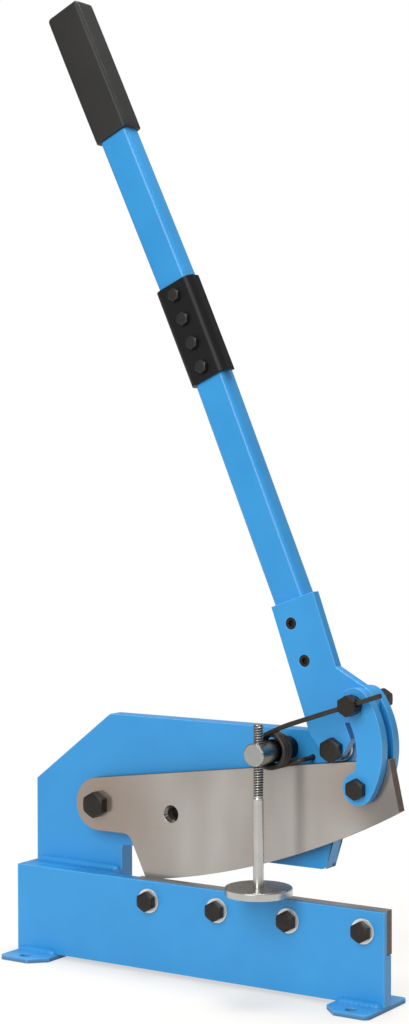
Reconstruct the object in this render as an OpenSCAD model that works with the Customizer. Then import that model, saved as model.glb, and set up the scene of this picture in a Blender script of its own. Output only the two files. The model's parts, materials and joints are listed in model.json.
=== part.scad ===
// Bench lever shear: a beam with a fixed blade, a C-shaped frame plate, a swinging
// upper blade and a long two-piece lever that drives it through a pair of links.
// Drawn with x from the beam's left end, y back from the beam's front face and z up
// from the bench. Each piece is then moved so that the bolt holes are centred.

/* [Beam and feet] */
// Length of the beam
beam_l = 464; // [440:1:500]
// Height of the beam plate
beam_h = 95.5; // [90:0.5:105]
// Thickness of the beam plate
beam_t = 15; // [13:0.5:18]
// Thickness of a foot plate
foot_t = 5; // [4:0.5:8]
// Width of a foot plate
foot_w = 56; // [52:1:60]
// Length of a foot plate from front to back
foot_l = 84; // [82:1:96]
// How far a foot reaches in front of the beam
foot_front = 34; // [33:1:40]
// How far the bolt holes lie outside a foot's middle
hole_out = 2; // [0:0.5:6]
// Length cut off a foot's inner front corner
foot_cut = 17; // [10:1:20]
// Corner radius of a foot's outer front corner
foot_r = 7; // [4:0.5:12]
// Corner radius of a foot's rear end
foot_back_r = 5; // [3:0.5:8]
// Diameter of a bench bolt hole
foot_hole_d = 12; // [9:0.5:14]
// Distance of a foot's middle from the beam's end
foot_in = 28.5; // [26:0.5:32]
// Distance between the front and rear bench bolts
foot_holes_y = 56; // [54:1:60]
// Leg of a weld bead
weld_leg = 5.5; // [2:0.5:6]

/* [Frame plate] */
// Thickness of the frame plate
frame_t = 20; // [16:0.5:24]
// Distance from the beam's front face to the frame plate
frame_y = 36; // [35:0.5:38]
// Width of the left column
column_w = 118; // [108:1:124]
// Height of the column's lower edge above the feet
column_lift = 50; // [45:1:55]
// Height of the throat under the arm, above the beam
throat_h = 27.5; // [22:0.5:32]
// Length of the slanted corner along the top
slant_l = 102; // [80:1:110]
// Height of the slanted corner
slant_h = 79; // [60:1:85]
// Radius of the arm's end round the lever pivot
arm_r = 15.3; // [14:0.1:16]
// Distance of the arm's lower corner from the lever pivot, towards the column
arm_back = 19; // [14:1:24]
// Radius of the arm's lower corner
arm_corner_r = 8; // [4:1:12]
// Radius of the throat's inner corner
throat_r = 4; // [3:0.5:8]

/* [Blades] */
// Thickness of both blades
blade_t = 12; // [11:0.5:13]
// Length of the lower blade
lower_blade_l = 305; // [290:1:310]
// Height of the lower blade
lower_blade_h = 45; // [40:1:52]
// Thickness of the beam's lip in front of the lower blade
lip_t = 6; // [5:0.5:7]
// How far the lower blade stands above the beam
blade_proud = 0.5; // [0.2:0.1:1]
// Gap between the blades where they pass
shear_gap = 0.3; // [0.2:0.05:0.6]
// Height of the blade pivot above the beam
pivot_h = 73; // [70:0.5:76]
// Distance of the blade pivot from the beam's left end
pivot_x = 98; // [94:0.5:100]
// Radius of the upper blade's eye
eye_r = 29; // [26:0.5:31]
// Rise of the upper blade's back from the eye to its end
back_rise = 48.3; // [44:0.1:50]
// Height of the upper blade's free end
tip_h = 52; // [46:0.5:56]
// Lean of the upper blade's free end
tip_lean = 11.5; // [6:0.5:14]
// Radius of the curved cutting edge
edge_r = 862; // [780:1:950]
// Depth by which the heel of the cutting edge laps the lower blade
heel_lap = 3.5; // [2:0.5:5]
// Distance of the cutting edge's heel from the lower blade's end
heel_in = 5; // [3:0.5:8]
// Diameter of the hole that shears round bar
bar_hole_d = 13; // [8:0.5:14]
// Distance of the round-bar hole from the blade pivot
bar_hole_x = 97.5; // [92:0.5:100]
// Distance of the round-bar hole below the blade pivot
bar_hole_drop = 2; // [0:0.5:4]
// Diameter of the blade pivot bolt
pivot_d = 16; // [14:0.5:18]
// Diameter of the lower blade's bolts
blade_bolt_d = 12; // [10:0.5:12]
// Distance of the outer blade bolts from the lower blade's ends
blade_bolt_end = 22; // [18:0.5:30]
// Distance of the lower blade's bolts below the beam's top
blade_bolt_drop = 21; // [18:0.5:23]
// Diameter of the washers under the lower blade's bolts
washer_d = 26; // [24:0.5:28]

/* [Linkage] */
// Distance of the lever pivot from the blade pivot along the beam
lever_pivot_x = 297.5; // [294:0.5:300]
// Height of the lever pivot above the blade pivot
lever_pivot_h = 82.5; // [82:0.5:86]
// Diameter of the lever pivot bolt
lever_pivot_d = 14; // [12:0.5:14]
// Distance from the lever pivot to the ear bolt
crank_l = 57.8; // [56:0.2:60]
// Angle of the ear bolt seen from the lever pivot
crank_angle = 57.7; // [55:0.1:60]
// Distance of the link bolt from the blade pivot along the beam
link_bolt_x = 332; // [330:0.5:334]
// Height of the link bolt above the blade pivot
link_bolt_h = 46.8; // [45:0.2:48]
// Diameter of the ear bolt and the link bolt
link_bolt_d = 12; // [10:0.5:12]
// Thickness of a link
link_t = 12; // [10:0.5:13]
// Outward reach of a link beyond the line between its bolts
link_reach = 30.3; // [28:0.1:33]
// Width of a link at its middle
link_w = 29.6; // [26:0.1:30]
// Radius of a link's hollow edge
hollow_r = 64; // [58:0.5:80]
// How far the hollow's middle lies below a link's middle
hollow_slide = 4.5; // [0:0.5:6]
// Radius of a link's end lobes
lobe_r = 17; // [16.8:0.1:17.4]
// Tilt of the slot that gives the link bolt its play in the blade
slot_tilt = 22; // [20:0.5:24]
// Travel of the link bolt to either side along its slot
slot_run = 8.7; // [8.5:0.1:9]
// Play of the link bolt all round in its slot
slot_play = 2; // [1.9:0.05:2.2]

/* [Lever] */
// Lean of the lever's cheek plate
cheek_lean = 19.7; // [18:0.1:21]
// Length of the cheek above the lever pivot
cheek_l = 159; // [150:1:170]
// Distance from the pivot line to the cheek's left edge
cheek_left = 21.6; // [20:0.1:24]
// Distance from the pivot line to the cheek's right edge
cheek_right = 31.4; // [28:0.1:34]
// Radius of the cheek's boss round the lever pivot
boss_r = 12.3; // [12:0.1:12.5]
// Radius of the cheek's ear round the ear bolt
ear_r = 17.5; // [16:0.1:18.5]
// Height on the cheek where the ear springs from the right edge
ear_top = 78; // [74:1:82]
// Width of a lever bar
bar_w = 38; // [34:0.5:40]
// Depth of a lever bar
bar_d = 25; // [22:0.5:30]
// Wall of a lever bar
bar_wall = 3; // [2:0.25:4]
// Lean of the lower bar
lower_bar_lean = 23.1; // [22:0.1:24]
// Lean of the upper bar
upper_bar_lean = 25.2; // [24.5:0.1:25.6]
// Height on the cheek of the lower bar's end
bar_foot = 72; // [68:1:76]
// Length of the lower bar
lower_bar_l = 395; // [360:1:430]
// Length of the upper bar
upper_bar_l = 390; // [360:1:430]
// Length of the joint sleeve
sleeve_l = 112; // [110:1:130]
// Wall of the joint sleeve
sleeve_wall = 4; // [3:0.25:5]
// Outer radius of the joint sleeve's bends
sleeve_r = 9; // [6:0.5:9]
// Diameter of the sleeve bolts
sleeve_bolt_d = 8; // [6:0.5:8]
// Distance between the sleeve bolts
sleeve_bolt_step = 28.3; // [26:0.1:29]
// Diameter of the cheek's socket screws
cheek_screw_d = 8; // [6:0.5:8]
// Distance between the cheek's socket screws
cheek_screw_step = 41; // [38:1:44]
// Length of the grip
grip_l = 160; // [140:0.5:180]
// Wall of the grip beside the bar
grip_wall = 3.5; // [3:0.25:5]
// Corner radius of the grip
grip_r = 5; // [4:0.5:8]

/* [Hold-down and spring] */
// Diameter of the cross shaft
shaft_d = 24; // [22:0.5:25]
// Reach of the cross shaft in front of the beam
shaft_reach = 34; // [32:0.5:40]
// Distance of the shaft from the lever pivot, towards the column
shaft_back = 63.5; // [60:0.5:66]
// Distance of the shaft below the lever pivot
shaft_drop = 4.3; // [2:0.1:5]
// Diameter of the shaft's stud through the frame plate
stud_d = 16; // [12:0.5:18]
// Diameter of the hold-down screw
screw_d = 11; // [8:0.5:12]
// Length of the hold-down screw
screw_l = 170; // [165:1:190]
// Distance of the screw from the shaft's front end
screw_inset = 10; // [9:0.5:12]
// Diameter of the hold-down foot
pad_d = 70; // [60:1:74]
// Thickness of the hold-down foot
pad_t = 8; // [6:0.5:10]
// Height of the hold-down foot above the beam
pad_lift = 7.5; // [6:0.5:12]
// Diameter of the spring wire
wire_d = 5; // [4:0.1:5]
// Mean radius of the spring's coil
coil_r = 17; // [16.5:0.1:18]
// Gap between the coil's turns
coil_gap = 0.6; // [0.5:0.05:0.8]
// Full turns of the coil
coil_turns = 3; // [3:1:4]
// Length of the spring's arm beyond the ear bolt
arm_over = 38; // [30:1:50]

/* [Hidden] */
$fn = 64;

// Clearances
bore_play = 0.1;     // running bore over its bolt, on the diameter
face_gap = 0.2;      // bolt head or spacer to the piece that turns beside it
link_gap = 0.5;      // link to blade and to cheek, each side
hole_play = 0.4;     // clearance hole over its bolt, on the diameter
nut_play = 0.1;      // nut thread over its bolt, on the diameter
end_gap = 1;         // lower blade's end to the beam's end
cut_over = 1;        // how far a cut runs past the face it leaves

// Colours
blue = "#3d9be6";
black_steel = "#3a3734";
black_plastic = "#383736";
blade_steel = "#a9a29c";
bright_steel = "#b4b4ae";

// Heights and depths
beam_top = foot_t + beam_h;
lower_y = lip_t;
upper_y = lower_y + blade_t + shear_gap;
upper_back = upper_y + blade_t;
front_link_y = upper_y - link_gap - link_t;
rear_link_y = upper_back + link_gap;
frame_back = frame_y + frame_t;
bar_y = upper_back;
bar_mid_y = bar_y + bar_d / 2;
pattern_mid = [beam_l / 2, foot_l / 2 - foot_front];

// Pivots as [x, z]
blade_pivot = [pivot_x, beam_top + pivot_h];
lever_pivot = blade_pivot + [lever_pivot_x, lever_pivot_h];
link_pin = blade_pivot + [link_bolt_x, link_bolt_h];
ear_pin = lever_pivot + crank_l * [cos(crank_angle), sin(crank_angle)];
shaft_at = lever_pivot - [shaft_back, shaft_drop];

// Standard proportions of bolts and nuts
function hex_af(d) = 1.5 * d + 1;
function head_t(d) = 0.64 * d;
function nut_t(d) = 0.8 * d;
function socket_af(d) = 0.75 * d;
tip_over = 3;        // bolt end beyond its nut
washer_t = 2;
blade_bolts = 4;
sleeve_bolts = 4;
cheek_screws = 2;

// Unit vector at an angle
function dir(a) = [cos(a), sin(a)];
// Up along a line that leans to the left of upright
function lean(a) = dir(90 + a);
// Angle from one point to another
function bearing(p, q) = atan2(q.y - p.y, q.x - p.x);
// Where the line from p touches a circle, on the side s (1 left, -1 right)
function touch(p, c, r, s) =
  let (d = norm(c - p), a = bearing(p, c) + s * asin(r / d)) p + sqrt(d * d - r * r) * dir(a);

// A flat outline in x and z, given a thickness back from y
module slab(y, t) {
  translate([0, y + t, 0]) rotate([90, 0, 0]) linear_extrude(t) children();
}

// A round pin along y
module pin(at, y, l, d) {
  translate([at.x, y, at.y]) rotate([-90, 0, 0]) cylinder(h = l, d = d);
}

// A hexagonal prism along y, given its size across flats
module hex(at, y, l, af, turn = 0) {
  translate([at.x, y, at.y]) rotate([-90, 0, 0]) rotate(turn)
    cylinder(h = l, d = af / cos(30), $fn = 6);
}

// The corner piece between two edges and a round of radius r: cut off an outer
// corner or filled into an inner one
module corner(v, a1, a2, r) {
  half = (a2 - a1) / 2;
  run = r / tan(half);
  c = v + r / sin(half) * dir(a1 + half);
  difference() {
    polygon([v, v + run * dir(a1), c, v + run * dir(a2)]);
    translate(c) circle(r);
  }
}

// A rectangle about the origin with rounded corners
module round_rect(w, h, r) {
  difference() {
    square([w, h], center = true);
    for (i = [0 : 3]) {
      sx = i == 0 || i == 3 ? 1 : -1;
      sy = i < 2 ? 1 : -1;
      corner([sx * w / 2, sy * h / 2], 180 + 90 * i, 270 + 90 * i, r);
    }
  }
}

// Puts the bench bolt holes round the origin
module place() {
  translate([-pattern_mid.x, -pattern_mid.y, 0]) children();
}

// Hexagon bolt along y with its head in front, a plain shank and a rounded tip
module hex_bolt(at, head_y, shank_l, d, af, h) {
  chamfer = 0.8;
  hex(at, head_y, h, af, 90);
  pin(at, head_y + h, shank_l - chamfer, d);
  translate([at.x, head_y + h + shank_l - chamfer, at.y])
    rotate([-90, 0, 0]) cylinder(h = chamfer, d1 = d, d2 = d - 2 * chamfer);
}

module hex_nut(at, y, d) {
  difference() {
    hex(at, y, nut_t(d), hex_af(d), 90);
    pin(at, y - cut_over, nut_t(d) + 2 * cut_over, d + nut_play);
  }
}

module ring(at, y, l, d_out, d_in) {
  difference() {
    pin(at, y, l, d_out);
    pin(at, y - cut_over, l + 2 * cut_over, d_in);
  }
}

// Frame

arm_low = [lever_pivot.x - arm_back, beam_top + throat_h];
arm_touch = touch(arm_low, lever_pivot, arm_r, -1);
frame_top = lever_pivot.y + arm_r;
column_low = foot_t + column_lift;
bar_hole = blade_pivot + [bar_hole_x, -bar_hole_drop];

module frame_outline() {
  throat_in = [column_w, arm_low.y];
  difference() {
    union() {
      polygon([[0, column_low], [column_w, column_low], throat_in, arm_low, arm_touch,
        [lever_pivot.x, lever_pivot.y], [lever_pivot.x, frame_top], [slant_l, frame_top],
        [0, frame_top - slant_h]]);
      translate(lever_pivot) circle(arm_r);
      corner(throat_in, -90, 0, throat_r);
    }
    corner(arm_low, bearing(arm_low, arm_touch), 180, arm_corner_r);
  }
}

module frame_plate() {
  color(blue) place() difference() {
    slab(frame_y, frame_t) frame_outline();
    pin(blade_pivot, frame_y - cut_over, frame_t + 2 * cut_over, pivot_d + bore_play);
    pin(lever_pivot, frame_y - cut_over, frame_t + 2 * cut_over, lever_pivot_d + bore_play);
    pin(shaft_at, frame_y - cut_over, frame_t + 2 * cut_over, stud_d + bore_play);
    pin(bar_hole, frame_y - cut_over, frame_t + 2 * cut_over, die_d + bore_play);
    pin(tail_at, frame_y - cut_over, tail_depth + 2 * cut_over, wire_d + 2 * tail_play);
  }
}

die_wall = 4.5;      // bush round the bar hole
die_lip = 3;         // flange beyond the bush
die_d = bar_hole_d + 2 * die_wall;

// Hardened bush that holds the round bar behind the blade's hole
module bar_die() {
  y = upper_back + shear_gap;
  color(black_steel) place() difference() {
    union() {
      pin(bar_hole, y, frame_y - y, die_d + 2 * die_lip);
      pin(bar_hole, frame_y, frame_t, die_d);
    }
    pin(bar_hole, y - cut_over, frame_back - y + 2 * cut_over, bar_hole_d);
  }
}

lower_x = beam_l - end_gap - lower_blade_l;
bolt_row_x = lower_x + lower_blade_l / 2 - end_gap;
blade_bolt_step = (lower_blade_l - 2 * blade_bolt_end) / (blade_bolts - 1);
function blade_bolt(i) =
  [bolt_row_x + (i - (blade_bolts - 1) / 2) * blade_bolt_step, beam_top - blade_bolt_drop];

module front_beam() {
  color(blue) place() difference() {
    translate([0, 0, foot_t]) cube([beam_l, beam_t, beam_h]);
    translate([lower_x, lip_t, beam_top + blade_proud - lower_blade_h])
      cube([lower_blade_l + end_gap + cut_over, beam_t, lower_blade_h + cut_over]);
    for (i = [0 : blade_bolts - 1])
      pin(blade_bolt(i), -cut_over, lip_t + 2 * cut_over, blade_bolt_d + hole_play);
  }
}

module spacer_block() {
  color(blue) place()
    translate([0, beam_t, column_low]) cube([column_w, frame_y - beam_t, beam_top - column_low]);
}

// A foot plate with its front and rear bench bolt holes: s is -1 on the left, 1 on the right
module foot(s) {
  middle = beam_l / 2 + s * (beam_l / 2 - foot_in);
  inner = middle - s * foot_w / 2;
  outer = middle + s * foot_w / 2;
  back = foot_l - foot_front;
  front_turn = 45 + 45 * s;
  difference() {
    linear_extrude(foot_t) difference() {
      polygon([[inner, foot_cut - foot_front], [inner + s * foot_cut, -foot_front],
        [outer, -foot_front], [outer, back], [inner, back]]);
      corner([outer, -foot_front], front_turn, front_turn + 90, foot_r);
      corner([middle + foot_w / 2, back], 180, 270, foot_back_r);
      corner([middle - foot_w / 2, back], 270, 360, foot_back_r);
    }
    for (side = [-1, 1])
      translate([middle + s * hole_out, pattern_mid.y + side * foot_holes_y / 2, -cut_over])
        cylinder(h = foot_t + 2 * cut_over, d = foot_hole_d);
  }
}

module left_foot() {
  color(blue) place() foot(-1);
}

module right_foot() {
  color(blue) place() foot(1);
}

// A quarter-round weld bead along x, in the angle between a flat and an upright face
module bead(x, l, y, z) {
  translate([x, y, z]) rotate([90, 0, 90]) linear_extrude(l) intersection() {
    circle(weld_leg);
    translate([-weld_leg, 0]) square(weld_leg);
  }
}

bead_inset = 2;

module column_weld() {
  color(blue) place() bead(bead_inset, column_w - 2 * bead_inset, frame_y, beam_top);
}

foot_weld_l = foot_in + foot_w / 2 - 2 * bead_inset;

module left_foot_weld() {
  color(blue) place() bead(bead_inset, foot_weld_l, 0, foot_t);
}

module right_foot_weld() {
  color(blue) place() bead(beam_l - bead_inset - foot_weld_l, foot_weld_l, 0, foot_t);
}

// Blades

module lower_blade() {
  color(blade_steel) place() difference() {
    translate([lower_x, lower_y, beam_top + blade_proud - lower_blade_h])
      cube([lower_blade_l, blade_t, lower_blade_h]);
    for (i = [0 : blade_bolts - 1])
      pin(blade_bolt(i), lower_y - cut_over, blade_t + 2 * cut_over, blade_bolt_d + bore_play);
  }
}

// Bolt through the lip into the lower blade, its end just short of the blade's back
module blade_bolt_piece(i) {
  h = head_t(blade_bolt_d);
  shank_l = washer_t + lip_t + blade_t - end_gap;
  color(black_steel) place()
    hex_bolt(blade_bolt(i), -washer_t - h, shank_l, blade_bolt_d, hex_af(blade_bolt_d), h);
}

module blade_washer(i) {
  color(bright_steel) place()
    ring(blade_bolt(i), -washer_t, washer_t, washer_d, blade_bolt_d + hole_play);
}

tip_past = 29.5;     // blade's top corner beyond the link bolt
notch_x = 42;        // corner of the notch behind the heel, from the blade pivot
notch_r = 12;
edge_steps = 720;    // steps of the cutting edge's long circle
tip_top = [link_pin.x + tip_past, blade_pivot.y + eye_r + back_rise];
tip_low = tip_top + [tip_lean, -tip_h];
heel = [lower_x + heel_in, beam_top + blade_proud - heel_lap];
heel_notch = [pivot_x + notch_x, blade_pivot.y - eye_r];
// Centre of the cutting edge's arc, through the heel and the tip's lower corner
edge_half = norm(tip_low - heel) / 2;
edge_rise = sqrt(edge_r * edge_r - edge_half * edge_half);
edge_centre = (heel + tip_low) / 2 + edge_rise * dir(bearing(heel, tip_low) + 90);

module upper_outline() {
  back_touch = touch(tip_top, blade_pivot, eye_r, -1);
  below = [0, -eye_r];
  difference() {
    intersection() {
      union() {
        translate(blade_pivot) circle(eye_r);
        polygon([blade_pivot, [blade_pivot.x, heel_notch.y], heel_notch, heel,
          heel + below, tip_low + below, tip_low, tip_top, back_touch]);
        corner(heel_notch, 180, 360 + bearing(heel_notch, heel), notch_r);
      }
      translate(edge_centre) circle(edge_r, $fn = edge_steps);
    }
    link_slot();
  }
}

slot_drop = 0.55;    // middle of the slot below the link bolt at rest

// Slot along the link bolt's path over the blade
module link_slot() {
  r = link_bolt_d / 2 + slot_play;
  translate(link_pin) rotate(slot_tilt) translate([0, -slot_drop]) {
    square([2 * slot_run, 2 * r], center = true);
    for (s = [-1, 1]) translate([s * slot_run, 0]) circle(r);
  }
}

module upper_blade() {
  mouth = 1.6;
  color(blade_steel) place() difference() {
    slab(upper_y, blade_t) upper_outline();
    pin(blade_pivot, upper_y - cut_over, blade_t + 2 * cut_over, pivot_d + bore_play);
    pin(bar_hole, upper_y - cut_over, blade_t + 2 * cut_over, bar_hole_d);
    translate([bar_hole.x, upper_y, bar_hole.y]) rotate([-90, 0, 0])
      cylinder(h = mouth, d1 = bar_hole_d + 2 * mouth, d2 = bar_hole_d);
  }
}

module blade_pivot_bolt() {
  h = head_t(pivot_d);
  grip_y = upper_y - face_gap;
  shank_l = frame_back + nut_t(pivot_d) + tip_over - grip_y;
  color(black_steel) place()
    hex_bolt(blade_pivot, grip_y - h, shank_l, pivot_d, hex_af(pivot_d), h);
}

// Distance ring between a turning plate and the frame plate
module spacer(at, d) {
  y = upper_back + face_gap;
  ring(at, y, frame_y - y, 2 * d, d + hole_play);
}

module blade_pivot_spacer() {
  color(bright_steel) place() spacer(blade_pivot, pivot_d);
}

module blade_pivot_nut() {
  color(black_steel) place() hex_nut(blade_pivot, frame_back, pivot_d);
}

// Lever pivot

module lever_pivot_bolt() {
  h = head_t(lever_pivot_d);
  grip_y = upper_y - face_gap;
  shank_l = frame_back + nut_t(lever_pivot_d) + tip_over - grip_y;
  color(black_steel) place()
    hex_bolt(lever_pivot, grip_y - h, shank_l, lever_pivot_d, hex_af(lever_pivot_d), h);
}

module lever_pivot_spacer() {
  color(bright_steel) place() spacer(lever_pivot, lever_pivot_d);
}

module lever_pivot_nut() {
  color(black_steel) place() hex_nut(lever_pivot, frame_back, lever_pivot_d);
}

// Links

// A link's bulging edge is an arc that runs into both end lobes
link_half = norm(ear_pin - link_pin) / 2;
link_middle = (ear_pin + link_pin) / 2;
link_normal = dir(bearing(ear_pin, link_pin) - 90);
bulge_r = (link_reach * link_reach - lobe_r * lobe_r + link_half * link_half)
  / (2 * (link_reach - lobe_r));
bulge_centre = link_middle + (bulge_r - link_reach) * link_normal;
hollow_centre = link_middle + (hollow_r - link_reach + link_w) * link_normal
  + hollow_slide * dir(bearing(ear_pin, link_pin));

module link_outline() {
  reach = 2 * bulge_r;
  intersection() {
    difference() {
      translate(bulge_centre) circle(bulge_r);
      translate(hollow_centre) circle(hollow_r);
    }
    polygon([bulge_centre, bulge_centre + reach * dir(bearing(bulge_centre, link_pin)),
      bulge_centre + reach * dir(bearing(bulge_centre, ear_pin))]);
  }
  translate(ear_pin) circle(lobe_r);
  translate(link_pin) circle(lobe_r);
}

module link(y) {
  difference() {
    slab(y, link_t) link_outline();
    for (at = [ear_pin, link_pin])
      pin(at, y - cut_over, link_t + 2 * cut_over, link_bolt_d + bore_play);
  }
}

module front_link() {
  color(blue) place() link(front_link_y);
}

module rear_link() {
  color(blue) place() link(rear_link_y);
}

rear_link_back = rear_link_y + link_t;
ear_spacer_t = 9;
ear_nut_y = rear_link_back + face_gap + ear_spacer_t;

module link_bolt() {
  h = head_t(link_bolt_d);
  shank_l = rear_link_back + nut_t(link_bolt_d) + tip_over - front_link_y;
  color(black_steel) place()
    hex_bolt(link_pin, front_link_y - h, shank_l, link_bolt_d, hex_af(link_bolt_d), h);
}

module link_nut() {
  color(black_steel) place() hex_nut(link_pin, rear_link_back, link_bolt_d);
}

ear_collar_t = 3;
arm_play = 2.8;      // spring arm in the ear bolt's hole, on the diameter
arm_hole_d = wire_d + arm_play;

// The ear bolt has a tall head, cross-drilled for the spring's arm, on a round collar
module ear_bolt() {
  collar_y = front_link_y - face_gap - ear_collar_t;
  ear_head_t = 2 * (collar_y - coil_front);
  shank_l = ear_nut_y + 2 * nut_t(link_bolt_d) + tip_over - collar_y;
  af = hex_af(link_bolt_d);
  color(black_steel) place() difference() {
    union() {
      hex_bolt(ear_pin, collar_y - ear_head_t, shank_l, link_bolt_d, af, ear_head_t);
      pin(ear_pin, collar_y, ear_collar_t, af);
    }
    translate([ear_pin.x, coil_front, ear_pin.y]) rotate([0, 90 - arm_angle, 0])
      cylinder(h = 2 * af, d = arm_hole_d, center = true);
  }
}

module ear_spacer() {
  color(black_steel) place()
    ring(ear_pin, rear_link_back + face_gap, ear_spacer_t, hex_af(link_bolt_d), link_bolt_d + nut_play);
}

module ear_nut() {
  color(black_steel) place() hex_nut(ear_pin, ear_nut_y, link_bolt_d);
}

module ear_lock_nut() {
  color(black_steel) place() hex_nut(ear_pin, ear_nut_y + nut_t(link_bolt_d), link_bolt_d);
}

// Lever

// A place on the cheek, given across and up from the lever pivot
function on_cheek(u, v) = lever_pivot + u * dir(cheek_lean) + v * lean(cheek_lean);

taper_top = 22;      // height where the cheek's left edge turns in to the boss
heel_reach = 23.2;   // lower right corner, across and up
heel_rise = 4;
waist_reach = 22;    // inner corner under the ear, across and up
waist_rise = 22;

module cheek_outline() {
  low_left = on_cheek(-cheek_left, taper_top);
  low_right = on_cheek(heel_reach, heel_rise);
  waist = on_cheek(waist_reach, waist_rise);
  shoulder = on_cheek(cheek_right, ear_top);
  top_right = on_cheek(cheek_right, cheek_l);
  polygon([on_cheek(-cheek_left, cheek_l), low_left, touch(low_left, lever_pivot, boss_r, -1),
    lever_pivot, touch(low_right, lever_pivot, boss_r, 1), low_right, waist,
    touch(waist, ear_pin, ear_r, -1), ear_pin, touch(shoulder, ear_pin, ear_r, 1), shoulder, top_right]);
  translate(lever_pivot) circle(boss_r);
  translate(ear_pin) circle(ear_r);
}

bar_across = -0.9;   // middle of the lower bar's end, across from the pivot line
bar_foot_at = on_cheek(bar_across, bar_foot);
cheek_screw_first = 23;
function cheek_screw_at(i) =
  bar_foot_at + (cheek_screw_first + i * cheek_screw_step) * lean(lower_bar_lean);
screw_head_d = 1.5 * cheek_screw_d;
screw_head_t = 6.2;
screw_sunk = 0.8;    // head below the cheek's face
screw_seat = screw_sunk + screw_head_t;

module lever_cheek() {
  color(blue) place() difference() {
    slab(upper_y, blade_t) cheek_outline();
    pin(lever_pivot, upper_y - cut_over, blade_t + 2 * cut_over, lever_pivot_d + bore_play);
    pin(ear_pin, upper_y - cut_over, blade_t + 2 * cut_over, link_bolt_d + bore_play);
    for (i = [0 : cheek_screws - 1]) {
      pin(cheek_screw_at(i), upper_y - cut_over, screw_seat + cut_over, screw_head_d + hole_play);
      pin(cheek_screw_at(i), upper_y, blade_t + cut_over, cheek_screw_d + hole_play);
    }
  }
}

// Socket screw sunk in the cheek, threaded into the bar's front wall
module cheek_screw(i) {
  socket = 4;
  y = upper_y + screw_sunk;
  shank_l = bar_y + bar_wall + tip_over - y - screw_head_t;
  color(black_steel) place() difference() {
    union() {
      pin(cheek_screw_at(i), y, screw_head_t, screw_head_d);
      pin(cheek_screw_at(i), y + screw_head_t, shank_l, cheek_screw_d);
    }
    hex(cheek_screw_at(i), y - cut_over, socket + cut_over, socket_af(cheek_screw_d));
  }
}

bar_r = 5;
bar_inner_r = 1;
bar_end_gap = 4;
sleeve_short = 8.5;  // sleeve's flanges short of the bars' back
sleeve_slack = 0.3;  // bars in the sleeve, each side
bar_joint = bar_foot_at + (lower_bar_l + bar_end_gap / 2) * lean(lower_bar_lean);
sleeve_lean = (lower_bar_lean + upper_bar_lean) / 2;
sleeve_play = sleeve_l / 2 * sin((upper_bar_lean - lower_bar_lean) / 2) + sleeve_slack;
function sleeve_bolt_at(i) =
  bar_joint + ((sleeve_bolts - 1) / 2 - i) * sleeve_bolt_step * lean(sleeve_lean);

// Turns a piece drawn up z about the bars' middle plane onto a leaning line
module along(at, a) {
  translate([at.x, bar_mid_y, at.y]) rotate([0, -a, 0]) children();
}

// Rectangular tube standing on z = 0
module tube(w, d, wall, l, r) {
  linear_extrude(l) difference() {
    round_rect(w, d, r);
    round_rect(w - 2 * wall, d - 2 * wall, max(r - wall, bar_inner_r));
  }
}

// Channel standing on z = 0 with its bends at the front, open at the back
module channel(w, d, wall, l, r) {
  bend = max(r - wall, bar_inner_r);
  in_w = w - 2 * wall;
  linear_extrude(l) difference() {
    translate([-w / 2, 0]) square([w, d]);
    corner([-w / 2, 0], 0, 90, r);
    corner([w / 2, 0], 90, 180, r);
    difference() {
      translate([-in_w / 2, wall]) square([in_w, d]);
      corner([-in_w / 2, wall], 0, 90, bend);
      corner([in_w / 2, wall], 90, 180, bend);
    }
  }
}

module sleeve_bolt_holes(d) {
  y = bar_y - sleeve_wall - cut_over;
  for (i = [0 : sleeve_bolts - 1])
    pin(sleeve_bolt_at(i), y, sleeve_wall + bar_d + 2 * cut_over, d);
}

module lower_bar() {
  color(blue) place() difference() {
    along(bar_foot_at, lower_bar_lean) tube(bar_w, bar_d, bar_wall, lower_bar_l, bar_r);
    sleeve_bolt_holes(sleeve_bolt_d + hole_play);
    for (i = [0 : cheek_screws - 1])
      pin(cheek_screw_at(i), bar_y - cut_over, bar_wall + 2 * cut_over, cheek_screw_d + bore_play);
  }
}

upper_bar_at = bar_joint + bar_end_gap / 2 * lean(upper_bar_lean);

module upper_bar() {
  color(blue) place() difference() {
    along(upper_bar_at, upper_bar_lean) tube(bar_w, bar_d, bar_wall, upper_bar_l, bar_r);
    sleeve_bolt_holes(sleeve_bolt_d + hole_play);
  }
}

module joint_sleeve() {
  w = bar_w + 2 * sleeve_play + 2 * sleeve_wall;
  d = sleeve_wall + bar_d - sleeve_short;
  color(black_plastic) place() difference() {
    along(bar_joint - sleeve_l / 2 * lean(sleeve_lean), sleeve_lean)
      translate([0, -bar_d / 2 - sleeve_wall, 0]) channel(w, d, sleeve_wall, sleeve_l, sleeve_r);
    sleeve_bolt_holes(sleeve_bolt_d + hole_play);
  }
}

module sleeve_bolt(i) {
  h = head_t(sleeve_bolt_d);
  y = bar_y - sleeve_wall;
  shank_l = sleeve_wall + bar_d + nut_t(sleeve_bolt_d) + tip_over;
  color(black_steel) place()
    hex_bolt(sleeve_bolt_at(i), y - h, shank_l, sleeve_bolt_d, hex_af(sleeve_bolt_d), h);
}

module sleeve_nut(i) {
  color(black_steel) place() hex_nut(sleeve_bolt_at(i), bar_y + bar_d, sleeve_bolt_d);
}

grip_cap = 8;

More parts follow.
